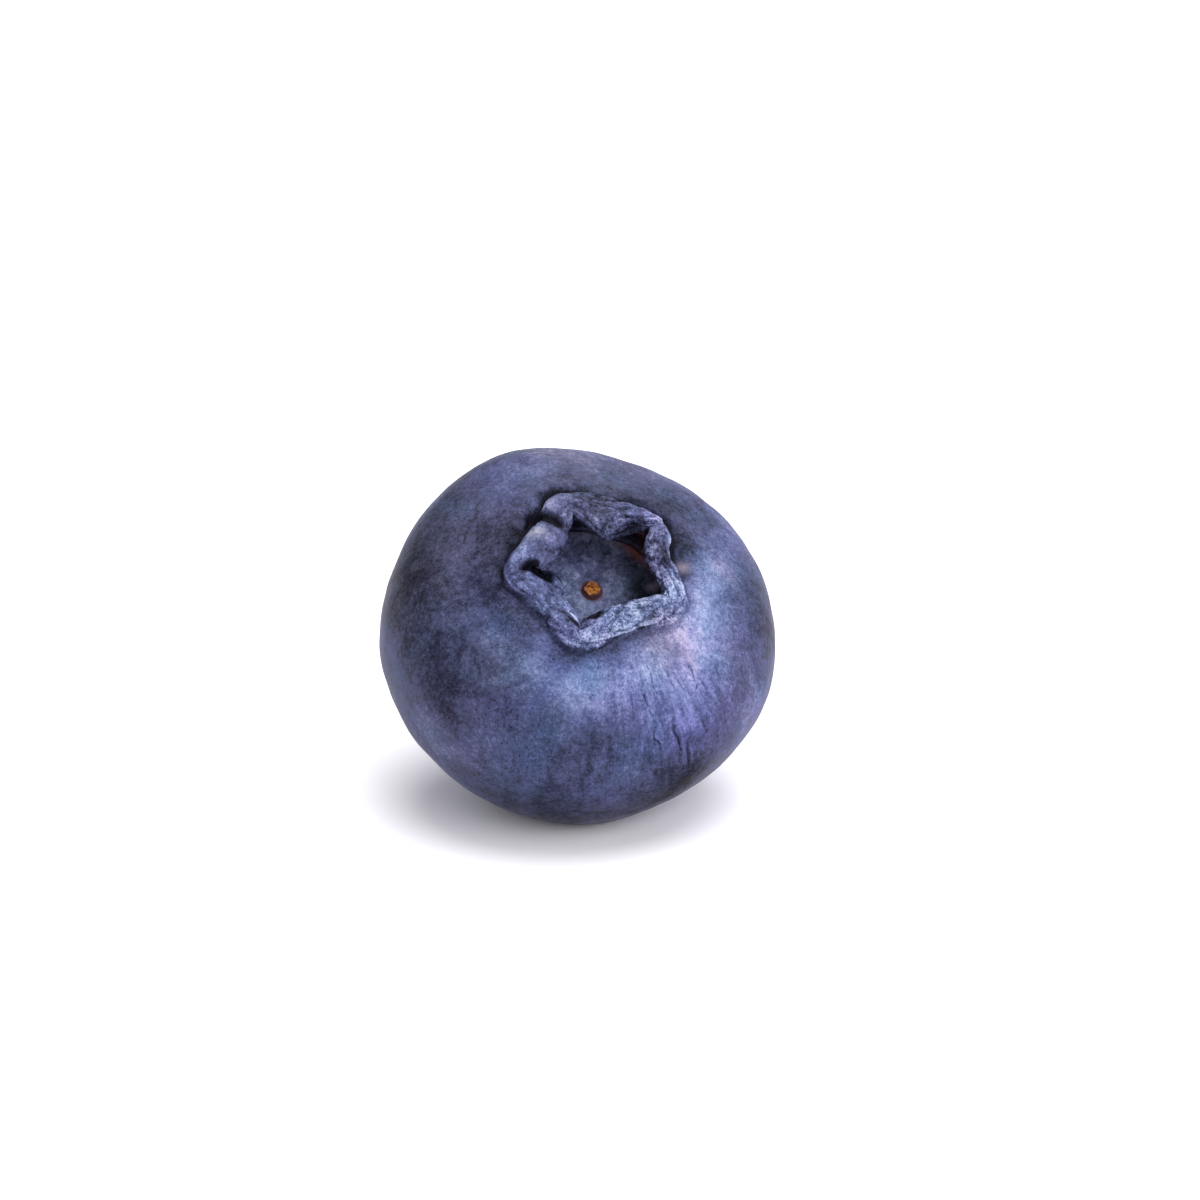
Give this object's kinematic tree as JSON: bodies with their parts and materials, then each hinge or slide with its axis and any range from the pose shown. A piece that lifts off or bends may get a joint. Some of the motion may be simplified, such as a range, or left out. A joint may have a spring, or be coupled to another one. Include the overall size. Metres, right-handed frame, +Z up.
{
  "type": "blueberry",
  "caption": "Whole blueberry lying on a small flat spot, its open crown of folded lobes leaning forward and its stem scar behind.",
  "frame": {"origin": "under the middle of the berry's box, on the surface that it lies on", "axes": "+Z up from the surface, out of the flat spot; the crown leans 39 degrees from +Z towards -Y and is turned 16 degrees towards +X; +X across the berry's width"},
  "size_m": [0.016, 0.0148, 0.0136],
  "materials": {
    "skin": "dark blue fruit skin under a matt, uneven pale bloom of wax"
  },
  "bodies": {
    "root": {"berry": "skin"}
  },
  "joints": []
}
